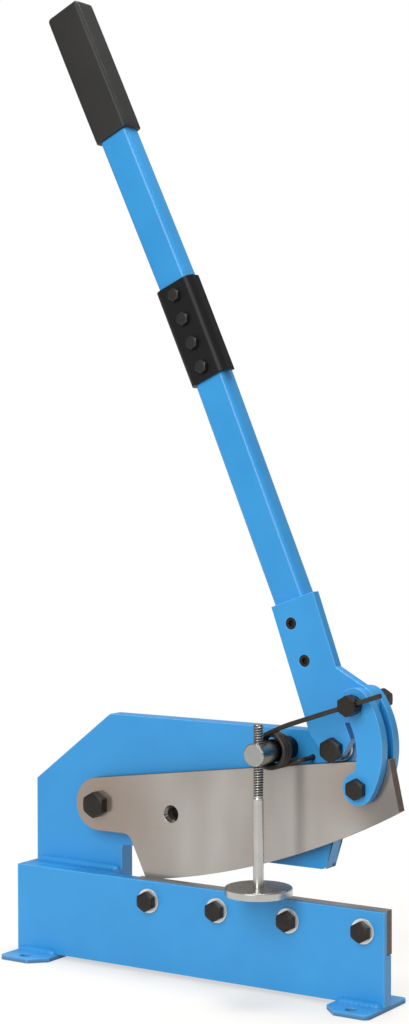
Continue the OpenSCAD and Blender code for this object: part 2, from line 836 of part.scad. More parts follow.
// Moulded grip: a rounded sheath over the bar, closed and rounded at its top
module grip() {
  w = bar_w + 2 * grip_wall;
  d = bar_d + 2 * grip_wall;
  at = upper_bar_at + (upper_bar_l + grip_cap - grip_l) * lean(upper_bar_lean);
  color(black_plastic) place() along(at, upper_bar_lean) difference() {
    linear_extrude(grip_l) round_rect(w, d, grip_r);
    translate([0, 0, -cut_over]) linear_extrude(grip_l - grip_cap + cut_over)
      round_rect(bar_w, bar_d, bar_r);
    translate([0, d, 0]) rotate([90, 0, 0]) linear_extrude(2 * d) {
      corner([w / 2, grip_l], 180, 270, grip_r);
      corner([-w / 2, grip_l], 270, 360, grip_r);
    }
    translate([-w, 0, 0]) rotate([90, 0, 90]) linear_extrude(2 * w) {
      corner([d / 2, grip_l], 180, 270, grip_r);
      corner([-d / 2, grip_l], 270, 360, grip_r);
    }
  }
}

// Return spring

spring_gap = 0.8;    // coil to the upper blade's face
tail_play = 0.5;     // spring tail in the frame plate's hole, all round
tail_depth = 8;      // spring tail's hole in the frame plate
tail_l = 25;         // straight of the tail from the coil
tail_bend = 6;
kink_l = 29;         // straight of the arm from the coil to its bend
coil_pitch = wire_d + coil_gap;
coil_start = -72;    // where the tail leaves the coil
coil_end = 115;      // where the arm leaves the coil
coil_sweep = coil_turns * 360 + coil_start - coil_end + 360;
coil_back = upper_y - spring_gap - wire_d / 2;
coil_front = coil_back - coil_pitch * coil_sweep / 360;
tail_dir = dir(coil_start + 90);
tail_at = shaft_at + coil_r * dir(coil_start) + tail_l * tail_dir;
arm_start = shaft_at + coil_r * dir(coil_end);
arm_kink = arm_start + kink_l * dir(coil_end - 90);
arm_angle = bearing(arm_kink, ear_pin);
arm_tip = ear_pin + arm_over * dir(arm_angle);
rings_per_turn = 8;
ring_sides = 6;

function at_depth(p, y) = [p.x, y, p.y];
// The wire's centre line: tail out of the frame plate, bend, coil, bent arm
coil_steps = round(coil_sweep / 360 * rings_per_turn);
spring_path = concat(
  [at_depth(tail_at, frame_y + tail_depth - tail_play)],
  [for (a = [0 : 30 : 90])
    at_depth(tail_at - tail_bend * (1 - cos(a)) * tail_dir, coil_back + tail_bend * (1 - sin(a)))],
  [for (i = [0 : coil_steps]) at_depth(
    shaft_at + coil_r * dir(coil_start - i * coil_sweep / coil_steps),
    coil_back + (coil_front - coil_back) * i / coil_steps)],
  [at_depth(arm_kink, coil_front), at_depth(ear_pin, coil_front), at_depth(arm_tip, coil_front)]);

function unit(v) = v / norm(v);
function heading(p, i) = unit(p[min(i + 1, len(p) - 1)] - p[max(i - 1, 0)]);
// Side vectors carried along the wire without twist
function sides(p, i, v) =
  i == len(p) ? [] :
  let (t = heading(p, i), n = unit(v - (v * t) * t)) concat([n], sides(p, i + 1, n));

module wire(path, d, k) {
  side = sides(path, 0, [1, 0, 0]);
  rings = [for (i = [0 : len(path) - 1]) let (n = side[i], b = cross(heading(path, i), n))
    for (j = [0 : k - 1]) path[i] + d / 2 * (cos(360 * j / k) * n + sin(360 * j / k) * b)];
  last = (len(path) - 1) * k;
  faces = concat(
    [for (i = [0 : len(path) - 2], j = [0 : k - 1])
      let (a = i * k + j, b = i * k + (j + 1) % k)
      each [[a, a + k, b], [b, a + k, b + k]]],
    [for (j = [1 : k - 2]) [0, j, j + 1]],
    [for (j = [1 : k - 2]) [last, last + j + 1, last + j]]);
  polyhedron(rings, faces, convexity = 6);
}

// Least gap of the wire to itself, over points more than half a turn apart
far = rings_per_turn / 2 + 1;
last_point = len(spring_path) - 1;
spring_gap_self = min([for (i = [0 : last_point], j = [i + far : 1 : last_point])
  norm(spring_path[i] - spring_path[j])]) - wire_d;
echo("Least gap between the spring's turns", spring_gap_self);

module return_spring() {
  color(black_steel) place() wire(spring_path, wire_d, ring_sides);
}

// Hold-down

screw_y = screw_inset - shaft_reach;
pad_low = beam_top + pad_lift;
pad_socket = 4;

module cross_shaft() {
  chamfer = 1.2;
  color(bright_steel) place() difference() {
    union() {
      translate([shaft_at.x, -shaft_reach, shaft_at.y]) rotate([-90, 0, 0])
        cylinder(h = chamfer, d1 = shaft_d - 2 * chamfer, d2 = shaft_d);
      pin(shaft_at, chamfer - shaft_reach, shaft_reach + frame_y - chamfer, shaft_d);
      pin(shaft_at, frame_y, frame_t + nut_t(stud_d) + tip_over, stud_d);
    }
    translate([shaft_at.x, screw_y, shaft_at.y])
      cylinder(h = 2 * shaft_d, d = screw_d + bore_play, center = true);
  }
}

module shaft_nut() {
  color(black_steel) place() hex_nut(shaft_at, frame_back, stud_d);
}

module hold_down_screw() {
  chamfer = 1;
  color(bright_steel) place() translate([shaft_at.x, screw_y, pad_low + pad_t - pad_socket]) {
    cylinder(h = screw_l - chamfer, d = screw_d);
    translate([0, 0, screw_l - chamfer])
      cylinder(h = chamfer, d1 = screw_d, d2 = screw_d - 2 * chamfer);
  }
}

module hold_down_foot() {
  chamfer = 1;
  r = pad_d / 2;
  color(bright_steel) place() translate([shaft_at.x, screw_y, pad_low]) difference() {
    rotate_extrude()
      polygon([[0, 0], [r, 0], [r, pad_t - chamfer], [r - chamfer, pad_t], [0, pad_t]]);
    translate([0, 0, pad_t - pad_socket]) cylinder(h = pad_socket + cut_over, d = screw_d + nut_play);
  }
}

frame_plate();
front_beam();
spacer_block();
left_foot();
right_foot();
column_weld();
left_foot_weld();
right_foot_weld();
lower_blade();
for (i = [0 : blade_bolts - 1]) {
  blade_bolt_piece(i);
  blade_washer(i);
}
for (i = [0 : sleeve_bolts - 1]) {
  sleeve_bolt(i);
  sleeve_nut(i);
}
for (i = [0 : cheek_screws - 1])
  cheek_screw(i);
blade_pivot_bolt();
blade_pivot_spacer();
blade_pivot_nut();
lever_pivot_bolt();
lever_pivot_spacer();
lever_pivot_nut();
cross_shaft();
shaft_nut();
bar_die();
upper_blade();
front_link();
rear_link();
link_bolt();
link_nut();
ear_bolt();
ear_spacer();
ear_nut();
ear_lock_nut();
lever_cheek();
lower_bar();
upper_bar();
joint_sleeve();
grip();
return_spring();
hold_down_screw();
hold_down_foot();
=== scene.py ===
import json
import math

import bmesh
import bpy
import numpy as np
from mathutils import Euler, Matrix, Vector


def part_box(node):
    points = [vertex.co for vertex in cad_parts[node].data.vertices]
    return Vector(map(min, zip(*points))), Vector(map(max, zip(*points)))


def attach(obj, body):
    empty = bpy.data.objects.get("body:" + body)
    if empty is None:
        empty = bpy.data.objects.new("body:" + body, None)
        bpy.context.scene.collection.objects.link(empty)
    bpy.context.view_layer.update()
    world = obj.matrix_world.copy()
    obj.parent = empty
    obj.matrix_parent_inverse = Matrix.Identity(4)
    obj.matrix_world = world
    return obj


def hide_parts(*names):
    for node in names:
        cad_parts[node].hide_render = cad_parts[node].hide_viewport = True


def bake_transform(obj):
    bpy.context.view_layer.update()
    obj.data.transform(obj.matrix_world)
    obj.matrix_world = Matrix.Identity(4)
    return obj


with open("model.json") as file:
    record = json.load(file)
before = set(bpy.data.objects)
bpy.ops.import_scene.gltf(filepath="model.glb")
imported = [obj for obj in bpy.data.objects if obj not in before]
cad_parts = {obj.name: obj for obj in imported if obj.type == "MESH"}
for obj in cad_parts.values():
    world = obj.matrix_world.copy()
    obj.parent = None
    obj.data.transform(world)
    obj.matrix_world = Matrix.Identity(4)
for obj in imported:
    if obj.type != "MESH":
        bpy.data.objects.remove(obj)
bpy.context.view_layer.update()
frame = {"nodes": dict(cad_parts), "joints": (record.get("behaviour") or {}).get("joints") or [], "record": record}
nodes = frame["nodes"]
joints = {joint["name"]: joint for joint in frame["joints"]}
bodyOf = {node: body for body, members in frame["record"]["behaviour"]["bodies"].items() for node in members}
slotOf = {part["node"]: part["material_slot"] for part in frame["record"]["subparts"]}
mm = 0.001
tiny = 1e-9  # keeps a sign or a quotient off zero
print("frame loaded:", len(nodes), "nodes")


# colours and nodes

def linear(hexColour):
    # sRGB hex to linear light, each channel undone from its curve
    s = np.array([int(hexColour[i:i + 2], 16) for i in (1, 3, 5)]) / 255
    light = np.where(s <= 0.04045, s / 12.92, ((s + 0.055) / 1.055) ** 2.4)
    return (*light.tolist(), 1.0)


def addNode(tree, kind, inputs=None, **settings):
    node = tree.nodes.new(kind)
    for name, value in settings.items():
        setattr(node, name, value)
    for socket, value in (inputs or {}).items():
        if isinstance(value, bpy.types.NodeSocket):
            tree.links.new(value, node.inputs[socket])
        else:
            node.inputs[socket].default_value = value
    return node


def newMaterial(name):
    material = bpy.data.materials.new(name)
    material.use_nodes = True
    tree = material.node_tree
    tree.nodes.clear()
    place = addNode(tree, "ShaderNodeTexCoord").outputs["Object"]
    return material, tree, place


def perMetre(sizeMm):
    # pattern scale that gives one cell in so many millimetres
    return 1 / (sizeMm * mm)


def nodePoints(node):
    # a CAD node's corners, in metres
    vertices = nodes[node].data.vertices
    points = np.empty(len(vertices) * 3)
    vertices.foreach_get("co", points)
    return points.reshape(-1, 3)


# Gloss enamel sprayed on steel plate: a slightly pebbled, clear-edged shine over an even blue,
# with thinner, paler paint where it pulls back from an edge; that paler edge tone is partly a painted highlight.
enamel = {"face": "#3aa2e4", "shade": "#298bcd", "edge": "#5fabe4", "cloudMm": 90, "peelMm": 2.6,
          "peelDepthMm": 0.2, "peelStrength": 0.05, "rough": (0.30, 0.42), "ior": 1.5, "shine": 0.38,
          "coat": 0.2, "coatRough": 0.17}


def makeEnamel(name, dark, light):
    material, tree, place = newMaterial(name)
    cloud = addNode(tree, "ShaderNodeTexNoise", {"Vector": place, "Scale": perMetre(enamel["cloudMm"]),
                                                 "Detail": 3.0})
    tone = addNode(tree, "ShaderNodeMix", {"Factor": cloud.outputs["Fac"], "A": linear(dark),
                                           "B": linear(light)}, data_type="RGBA")
    peel = addNode(tree, "ShaderNodeTexNoise", {"Vector": place, "Scale": perMetre(enamel["peelMm"]),
                                                "Detail": 1.0})
    relief = addNode(tree, "ShaderNodeBump", {"Height": peel.outputs["Fac"],
                                              "Distance": enamel["peelDepthMm"] * mm,
                                              "Strength": enamel["peelStrength"]})
    rough = addNode(tree, "ShaderNodeMapRange", {"Value": cloud.outputs["Fac"], "To Min": enamel["rough"][0],
                                                 "To Max": enamel["rough"][1]})
    shader = addNode(tree, "ShaderNodeBsdfPrincipled", {
        "Base Color": tone.outputs["Result"], "Roughness": rough.outputs["Result"],
        "Normal": relief.outputs["Normal"], "IOR": enamel["ior"], "Specular IOR Level": enamel["shine"],
        "Coat Weight": enamel["coat"], "Coat Roughness": enamel["coatRough"]})
    addNode(tree, "ShaderNodeOutputMaterial", {"Surface": shader.outputs[0]})
    return material


blueEnamel = makeEnamel("blue_enamel_sprayed", enamel["shade"], enamel["face"])
# paler enamel for the eased edges: thin paint and a painted highlight along the edges
blueEdgeAndPaintedLight = makeEnamel("blue_enamel_thin_edge_and_painted_light", enamel["face"], enamel["edge"])

# The feet's sheared edges: the same paint, dull, and darker and greyer towards the bottom.
shearedEdge = {"top": "#4f9bd4", "rim": "#4d6076", "heightMm": 5, "rough": 0.5}


def makeShearedEdge():
    material, tree, place = newMaterial("blue_enamel_on_sheared_edge")
    height = addNode(tree, "ShaderNodeSeparateXYZ", {"Vector": place}).outputs["Z"]
    share = addNode(tree, "ShaderNodeMapRange", {"Value": height, "From Max": shearedEdge["heightMm"] * mm})
    tone = addNode(tree, "ShaderNodeMix", {"Factor": share.outputs["Result"], "A": linear(shearedEdge["rim"]),
                                           "B": linear(shearedEdge["top"])}, data_type="RGBA")
    shader = addNode(tree, "ShaderNodeBsdfPrincipled", {
        "Base Color": tone.outputs["Result"], "Roughness": shearedEdge["rough"], "IOR": enamel["ior"]})
    addNode(tree, "ShaderNodeOutputMaterial", {"Surface": shader.outputs[0]})
    return material


dullEdge = makeShearedEdge()

# Hardened tool steel, surface ground along its length: a warm grey satin that still mirrors the screw in front
# of it, with long fine scratches and slow upright cloudy patches, partly random tone and partly painted soft
# reflections. The scratches are drawn several times wider than real ones, which would not show.
bladeGround = {"low": "#9d968f", "high": "#bcb8b3", "scratchMm": (120, 0.8), "scratchShare": 0.15,
               "cloudMm": (55, 160), "levels": (0.3, 0.7), "rough": (0.19, 0.24), "metallic": 0.65,
               "reliefMm": 0.05, "relief": 0.02, "spot": "#97877b", "spotShare": 0.85, "stainMm": (16, 120),
               "pinBrownMm": (10, 58), "tipGrey": "#76726e", "tipGreyMm": (14, 68)}


def makeGroundSteel():
    material, tree, place = newMaterial("tool_steel_surface_ground")
    lengthways, across = [perMetre(size) for size in bladeGround["scratchMm"]]
    lay = addNode(tree, "ShaderNodeMapping", {"Vector": place, "Scale": (lengthways, across, across)})
    scratch = addNode(tree, "ShaderNodeTexNoise", {"Vector": lay.outputs["Vector"], "Scale": 1.0, "Detail": 4.0})
    # upright patches: partly random tone, partly painted soft reflections
    wide, tall = [perMetre(size) for size in bladeGround["cloudMm"]]
    drift = addNode(tree, "ShaderNodeMapping", {"Vector": place, "Scale": (wide, wide, tall)})
    cloud = addNode(tree, "ShaderNodeTexNoise", {"Vector": drift.outputs["Vector"], "Scale": 1.0, "Detail": 1.5})
    both = addNode(tree, "ShaderNodeMix", {"Factor": bladeGround["scratchShare"], "A": cloud.outputs["Fac"],
                                           "B": scratch.outputs["Fac"]})
    level = addNode(tree, "ShaderNodeMapRange", {"Value": both.outputs["Result"],
                                                 "From Min": bladeGround["levels"][0],
                                                 "From Max": bladeGround["levels"][1]})
    tone = addNode(tree, "ShaderNodeMix", {"Factor": level.outputs["Result"], "A": linear(bladeGround["low"]),
                                           "B": linear(bladeGround["high"])}, data_type="RGBA")
    # brown from oil round the pivot, brown round the link bolt too, and darker and greyer towards the tip
    linkBolt = [(a + b) / 2 for a, b in zip(*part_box("link_bolt"))]
    corners = nodePoints("upper_blade")
    tip = corners[corners[:, 0].argmax()].tolist()
    for at, colour, reach in ((joints["blade_swing"]["pos_m"], "spot", "stainMm"),
                              (linkBolt, "spot", "pinBrownMm"), (tip, "tipGrey", "tipGreyMm")):
        off = addNode(tree, "ShaderNodeVectorMath", {0: place, 1: at}, operation="DISTANCE")
        near, far = bladeGround[reach]
        spot = addNode(tree, "ShaderNodeMapRange", {
            "Value": off.outputs["Value"], "From Min": near * mm, "From Max": far * mm,
            "To Min": bladeGround["spotShare"], "To Max": 0.0}, interpolation_type="SMOOTHSTEP")
        tone = addNode(tree, "ShaderNodeMix", {"Factor": spot.outputs["Result"], "A": tone.outputs["Result"],
                                               "B": linear(bladeGround[colour])}, data_type="RGBA")
    rough = addNode(tree, "ShaderNodeMapRange", {"Value": scratch.outputs["Fac"],
                                                 "To Min": bladeGround["rough"][0],
                                                 "To Max": bladeGround["rough"][1]})
    relief = addNode(tree, "ShaderNodeBump", {"Height": scratch.outputs["Fac"],
                                              "Distance": bladeGround["reliefMm"] * mm,
                                              "Strength": bladeGround["relief"]})
    shader = addNode(tree, "ShaderNodeBsdfPrincipled", {
        "Base Color": tone.outputs["Result"], "Roughness": rough.outputs["Result"],
        "Normal": relief.outputs["Normal"], "Metallic": bladeGround["metallic"]})
    addNode(tree, "ShaderNodeOutputMaterial", {"Surface": shader.outputs[0]})
    return material


groundSteel = makeGroundSteel()

# The blade's sawn and rolled edges: dull brown mill scale, mottled.
millScale = {"dark": "#544940", "light": "#7c7065", "mottleMm": 6, "reliefMm": 0.15, "relief": 0.4, "rough": 0.55,
             "metallic": 0.6}


def makeMillScale():
    material, tree, place = newMaterial("tool_steel_rolled_edge")
    mottle = addNode(tree, "ShaderNodeTexNoise", {"Vector": place, "Scale": perMetre(millScale["mottleMm"]),
                                                  "Detail": 5.0})
    tone = addNode(tree, "ShaderNodeMix", {"Factor": mottle.outputs["Fac"], "A": linear(millScale["dark"]),
                                           "B": linear(millScale["light"])}, data_type="RGBA")
    relief = addNode(tree, "ShaderNodeBump", {"Height": mottle.outputs["Fac"],
                                              "Distance": millScale["reliefMm"] * mm,
                                              "Strength": millScale["relief"]})
    shader = addNode(tree, "ShaderNodeBsdfPrincipled", {
        "Base Color": tone.outputs["Result"], "Roughness": millScale["rough"],
        "Normal": relief.outputs["Normal"], "Metallic": millScale["metallic"]})
    addNode(tree, "ShaderNodeOutputMaterial", {"Surface": shader.outputs[0]})
    return material


scaleEdge = makeMillScale()

# Machine bolts in black oxide: a thin brown-black skin on steel, mottled, with an oily sheen.
oxide = {"dark": "#1c1a18", "light": "#342e2a", "mottleMm": 5, "rough": (0.34, 0.46), "reliefMm": 0.08,
         "relief": 0.25, "metallic": 0.3, "shine": 0.3}
# Oil-tempered spring wire: drawn, smoother and a little browner.
wireFinish = {**oxide, "dark": "#2c2723", "light": "#483f38", "mottleMm": 6, "rough": (0.3, 0.42)}


def makeOxide(name, finish):
    material, tree, place = newMaterial(name)
    mottle = addNode(tree, "ShaderNodeTexNoise", {"Vector": place, "Scale": perMetre(finish["mottleMm"]),
                                                  "Detail": 4.0})
    tone = addNode(tree, "ShaderNodeMix", {"Factor": mottle.outputs["Fac"], "A": linear(finish["dark"]),
                                           "B": linear(finish["light"])}, data_type="RGBA")
    rough = addNode(tree, "ShaderNodeMapRange", {"Value": mottle.outputs["Fac"], "To Min": finish["rough"][0],
                                                 "To Max": finish["rough"][1]})
    relief = addNode(tree, "ShaderNodeBump", {"Height": mottle.outputs["Fac"], "Distance": finish["reliefMm"] * mm,
                                              "Strength": finish["relief"]})
    shader = addNode(tree, "ShaderNodeBsdfPrincipled", {
        "Base Color": tone.outputs["Result"], "Roughness": rough.outputs["Result"],
        "Normal": relief.outputs["Normal"], "Metallic": finish["metallic"],
        "Specular IOR Level": finish["shine"]})
    addNode(tree, "ShaderNodeOutputMaterial", {"Surface": shader.outputs[0]})
    return material


blackOxide = makeOxide("steel_black_oxide", oxide)
temperedWire = makeOxide("spring_wire_oil_tempered", wireFinish)

# Bright zinc on turned steel: a pale, faintly mottled mirror.
zinc = {"low": "#9f9f9a", "high": "#b4b5b1", "spangleMm": 18, "rough": (0.24, 0.3), "metallic": 1.0}
# The cross shaft: bright in front of the coil, and black from the coil back to the plate as painted shade inside
# and behind the coil.
shaftZinc = {**zinc, "paintedShade": "#1d1b19", "paintedShadeMm": (-12, -6)}
# The hold-down's screw and foot: clear plated and paler.
clearZinc = {**zinc, "low": "#b3b0ab", "high": "#c9c7c3", "spangleMm": 14}
# The screw's thread roots: darker and duller.
rootZinc = {"low": "#5b5a56", "high": "#6e6d68", "spangleMm": 10, "rough": (0.4, 0.5), "metallic": 0.8}
# New washers: whiter and duller.
washerZinc = {"low": "#d8d8d4", "high": "#ececea", "spangleMm": 10, "rough": (0.3, 0.4), "metallic": 0.6}
# The bar hole's countersink: bare steel, turned and still bright.
turnedSteel = {"low": "#6a6662", "high": "#7d7873", "spangleMm": 4, "rough": (0.12, 0.18), "metallic": 1.0}


def makeZinc(name, finish):
    material, tree, place = newMaterial(name)
    spangle = addNode(tree, "ShaderNodeTexNoise", {"Vector": place, "Scale": perMetre(finish["spangleMm"]),
                                                   "Detail": 3.0})
    tone = addNode(tree, "ShaderNodeMix", {"Factor": spangle.outputs["Fac"], "A": linear(finish["low"]),
                                           "B": linear(finish["high"])}, data_type="RGBA")
    rough = addNode(tree, "ShaderNodeMapRange", {"Value": spangle.outputs["Fac"], "To Min": finish["rough"][0],
                                                 "To Max": finish["rough"][1]})
    if "paintedShade" in finish:
        # painted shade: the shaft turns black by depth, from behind the coil's front back to the plate
        depth = addNode(tree, "ShaderNodeSeparateXYZ", {"Vector": place}).outputs["Y"]
        unshaded, black = finish["paintedShadeMm"]
        share = addNode(tree, "ShaderNodeMapRange", {"Value": depth, "From Min": unshaded * mm,
                                                     "From Max": black * mm})
        tone = addNode(tree, "ShaderNodeMix", {"Factor": share.outputs["Result"], "A": tone.outputs["Result"],
                                               "B": linear(finish["paintedShade"])}, data_type="RGBA")
    shader = addNode(tree, "ShaderNodeBsdfPrincipled", {
        "Base Color": tone.outputs["Result"], "Roughness": rough.outputs["Result"], "Metallic": finish["metallic"]})
    addNode(tree, "ShaderNodeOutputMaterial", {"Surface": shader.outputs[0]})
    return material


brightZinc = makeZinc("steel_bright_zinc_plated", zinc)
zincWithPaintedShade = makeZinc("steel_bright_zinc_painted_shade", shaftZinc)
paleZinc = makeZinc("steel_clear_zinc_plated", clearZinc)
darkRootZinc = makeZinc("steel_zinc_thread_root", rootZinc)
whiteZinc = makeZinc("steel_new_zinc_plated", washerZinc)
polishedSteel = makeZinc("tool_steel_turned_bright", turnedSteel)

# Soft vinyl dip-moulded grip: near-black, a fine leathery grain and a broad dull shine. The grain here and the
# pimples of the next two are drawn coarser than real ones, which would not show.
vinyl = {"dark": "#1f1e1d", "light": "#2b2a29", "grainMm": 1.4, "cloudMm": 40, "rough": 0.5, "ior": 1.5,
         "shine": 0.36, "reliefMm": 0.1, "relief": 0.3}
# Sleeve of folded sheet in satin black powder coat: finely pimpled.
powder = {**vinyl, "dark": "#121212", "light": "#1b1b1b", "grainMm": 1.8, "cloudMm": 30, "rough": 0.4, "shine": 0.2,
          "relief": 0.2}
# The sleeve's bolts and nuts: black paint brushed on, smoother and a little greyer.
boltPaint = {**powder, "dark": "#1e1d1c", "light": "#2a2928", "cloudMm": 8, "rough": 0.38, "shine": 0.32,
             "relief": 0.1}


def makeBlackCoat(name, finish):
    material, tree, place = newMaterial(name)
    cloud = addNode(tree, "ShaderNodeTexNoise", {"Vector": place, "Scale": perMetre(finish["cloudMm"]),
                                                 "Detail": 3.0})
    tone = addNode(tree, "ShaderNodeMix", {"Factor": cloud.outputs["Fac"], "A": linear(finish["dark"]),
                                           "B": linear(finish["light"])}, data_type="RGBA")
    grain = addNode(tree, "ShaderNodeTexVoronoi", {"Vector": place, "Scale": perMetre(finish["grainMm"])},
                    feature="SMOOTH_F1")
    pimple = addNode(tree, "ShaderNodeBump", {"Height": grain.outputs["Distance"],
                                              "Distance": finish["reliefMm"] * mm, "Strength": finish["relief"]})
    shader = addNode(tree, "ShaderNodeBsdfPrincipled", {
        "Base Color": tone.outputs["Result"], "Roughness": finish["rough"], "Normal": pimple.outputs["Normal"],
        "IOR": finish["ior"], "Specular IOR Level": finish["shine"]})
    addNode(tree, "ShaderNodeOutputMaterial", {"Surface": shader.outputs[0]})
    return material


gripVinyl = makeBlackCoat("soft_vinyl_moulded", vinyl)
sleevePowder = makeBlackCoat("steel_black_powder_coat", powder)
blackPaint = makeBlackCoat("steel_black_paint_brushed", boltPaint)
print("materials made")


# meshes

def gridFaces(rows, columns, wrapRows, wrapColumns):
    # quads between neighbouring rows and columns of a grid of points
    i = np.arange(rows if wrapRows else rows - 1)
    j = np.arange(columns if wrapColumns else columns - 1)
    i, j = [a.ravel() for a in np.meshgrid(i, j, indexing="ij")]
    up, right = (i + 1) % rows, (j + 1) % columns
    return np.stack([i * columns + j, i * columns + right, up * columns + right, up * columns + j], axis=1)


weldSettings = {"nearM": 1e-6, "slimM": 1e-7}  # points merged, and faces dropped, below these


def gridMesh(name, points, wrapRows=False, wrapColumns=True, sharpDeg=32):
    # one surface from a grid of points, poles and seams welded, normals outward
    rows, columns = points.shape[:2]
    mesh = bpy.data.meshes.new(name)
    mesh.from_pydata(points.reshape(-1, 3), [], gridFaces(rows, columns, wrapRows, wrapColumns))
    return weldMesh(mesh, sharpDeg)


def weldMesh(mesh, sharpDeg):
    work = bmesh.new()
    work.from_mesh(mesh)
    bmesh.ops.remove_doubles(work, verts=work.verts, dist=weldSettings["nearM"])
    bmesh.ops.dissolve_degenerate(work, dist=weldSettings["slimM"], edges=work.edges)
    bmesh.ops.recalc_face_normals(work, faces=work.faces)
    work.to_mesh(mesh)
    work.free()
    mesh.polygons.foreach_set("use_smooth", np.ones(len(mesh.polygons), bool))
    mesh.set_sharp_from_angle(angle=math.radians(sharpDeg))
    mesh.update()
    return mesh


def faceValues(mesh, name):
    # a three-number value of every face, such as its middle or its normal
    values = np.empty(len(mesh.polygons) * 3)
    mesh.polygons.foreach_get(name, values)
    return values.reshape(-1, 3)


def addPiece(name, mesh, materials, node, rides=True):
    # the piece stands for a CAD node and, unless it is blended, rides on its body
    piece = bpy.data.objects.new(name, mesh)
    bpy.context.scene.collection.objects.link(piece)
    for material in materials:
        mesh.materials.append(material)
    if rides:
        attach(piece, bodyOf[node])
    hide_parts(node)
    return piece


# plates, bars and turned pieces: the CAD node's own shape with its edges eased

easedEdges = {
    "frame_plate": 0.8, "front_beam": 0.8, "spacer_block": 0.7, "left_foot": 0.7, "right_foot": 0.7,
    "front_link": 0.7, "rear_link": 0.7, "lever_cheek": 0.8, "lower_bar": 0.35, "upper_bar": 0.35,
    "upper_blade": 0.35, "lower_blade": 0.3, "cross_shaft": 0.25, "hold_down_foot": 0.3,
    "ear_bolt": 0.3, "ear_spacer": 0.3, "bar_die": 0.3, "joint_sleeve": 0.5,
    "blade_pivot_spacer": 0.3, "lever_pivot_spacer": 0.3, "cheek_screw_1": 0.25, "cheek_screw_2": 0.25}
easeSettings = {"flatDeg": 0.25, "sharpDeg": 35, "segments": 3, "sideFacing": 0.8, "weldDigits": 6, "onCutM": 2e-6,
                "cutLevel": ("front_link", "rear_link", "lever_cheek", "lower_bar", "upper_bar", "joint_sleeve")}
# axes along which a node's narrow sides face
edgeAxes = {"upper_blade": (0, 2), "lower_blade": (0,), "left_foot": (0, 1), "right_foot": (0, 1)}
# face, eased edge and, where edgeAxes names the node, narrow side
finishes = {"blue_paint": [blueEnamel, blueEdgeAndPaintedLight, dullEdge], "blade_steel": [groundSteel, groundSteel, scaleEdge],
            "bright_steel": [brightZinc, brightZinc], "black_bolts": [blackOxide, blackOxide],
            "black_sleeve": [sleevePowder, sleevePowder]}
# the feet's faces take the paler edge enamel all over: painted light that makes their tops lighter
ownFinishes = {"hold_down_foot": [paleZinc, paleZinc], "cross_shaft": [zincWithPaintedShade, zincWithPaintedShade],
               "left_foot": [blueEdgeAndPaintedLight, blueEdgeAndPaintedLight, dullEdge], "right_foot": [blueEdgeAndPaintedLight, blueEdgeAndPaintedLight, dullEdge]}


def loopEdges(loop):
    return list(zip(loop, loop[1:] + loop[:1]))


def joinLoops(first, second):
    # two loops of corners become one where they share a single run of edges, and nothing else
    def runEnd(loop, other):
        edges = {(v, u) for u, v in loopEdges(other)}
        shared = [edge in edges for edge in loopEdges(loop)]
        start = next(i for i in range(len(loop)) if shared[i - 1] and not shared[i])
        return loop[start:] + loop[:start], sum(shared)
    turned, run = runEnd(first, second)
    if len(set(first) & set(second)) != run + 1:
        return None
    onward, _ = runEnd(second, first)
    return turned[:len(first) - run + 1] + onward[1:len(second) - run]


def flatPairs(loops, normal):
    # edges whose two faces lie in one plane, and who owns each edge
    owner = {edge: i for i, loop in enumerate(loops) for edge in loopEdges(loop)}
    flat = math.cos(math.radians(easeSettings["flatDeg"]))
    return owner, [(u, v) for u, v in owner if u < v and (v, u) in owner
                   and normal[owner[u, v]] @ normal[owner[v, u]] > flat]


def flatFaces(loops, normal, points, kept):
    # faces in one plane grow together, except across the kept edges, as long as each stays one loop
    owner, pairs = flatPairs(loops, normal)
    pairs = sorted([pair for pair in pairs if not kept(*pair)],
                   key=lambda edge: -np.linalg.norm(points[edge[0]] - points[edge[1]]))
    loops = dict(enumerate(loops))
    left = len(pairs) + 1
    while len(pairs) < left:
        left, waiting = len(pairs), []
        for u, v in pairs:
            if (u, v) not in owner or (v, u) not in owner:
                continue
            i, j = owner[u, v], owner[v, u]
            joined = joinLoops(loops[i], loops[j]) if i != j else None
            if joined is None:
                waiting.append((u, v))
                continue
            for edge in loopEdges(loops[i]) + loopEdges(loops[j]):
                owner.pop(edge)
            loops[i] = joined
            del loops[j]
            owner.update({edge: i for edge in loopEdges(joined)})
        pairs = waiting
    return list(loops.values())


def holeMiddles(loops, normal, points, axis):
    # where the holes of the flat faces lie along an axis: every rim of a flat but its outermost one
    owner, pairs = flatPairs(loops, normal)
    group = list(range(len(loops)))

    def top(i):
        while group[i] != i:
            group[i] = group[group[i]]
            i = group[i]
        return i

    for u, v in pairs:
        group[top(owner[u, v])] = top(owner[v, u])
    rims = {}
    for (u, v), i in owner.items():
        if (v, u) in owner and top(owner[v, u]) != top(i):
            rims.setdefault(top(i), {})[u] = v
    middles = set()
    for onward in rims.values():
        runs = []
        while onward:
            u = next(iter(onward))
            run = []
            while u in onward:
                run.append(u)
                u = onward.pop(u)
            runs.append(points[run])
        runs.sort(key=lambda run: np.ptp(run, axis=0).sum())
        middles.update(round(float(run[:, axis].min() + run[:, axis].max()) / 2, easeSettings["weldDigits"])
                       for run in runs[:-1])
    return sorted(middles)


def meshLoops(work):
    work.verts.index_update()
    loops = [[v.index for v in face.verts] for face in work.faces]
    return loops, np.array([face.normal for face in work.faces]), np.array([v.co for v in work.verts])


mouthSettings = {"node": "upper_blade", "around": "bar_die", "reachMm": 8.5, "rimMm": 9.6, "depthMm": 3.1,
                 "frontMm": 0.01, "coneFacing": (0.3, 0.95)}


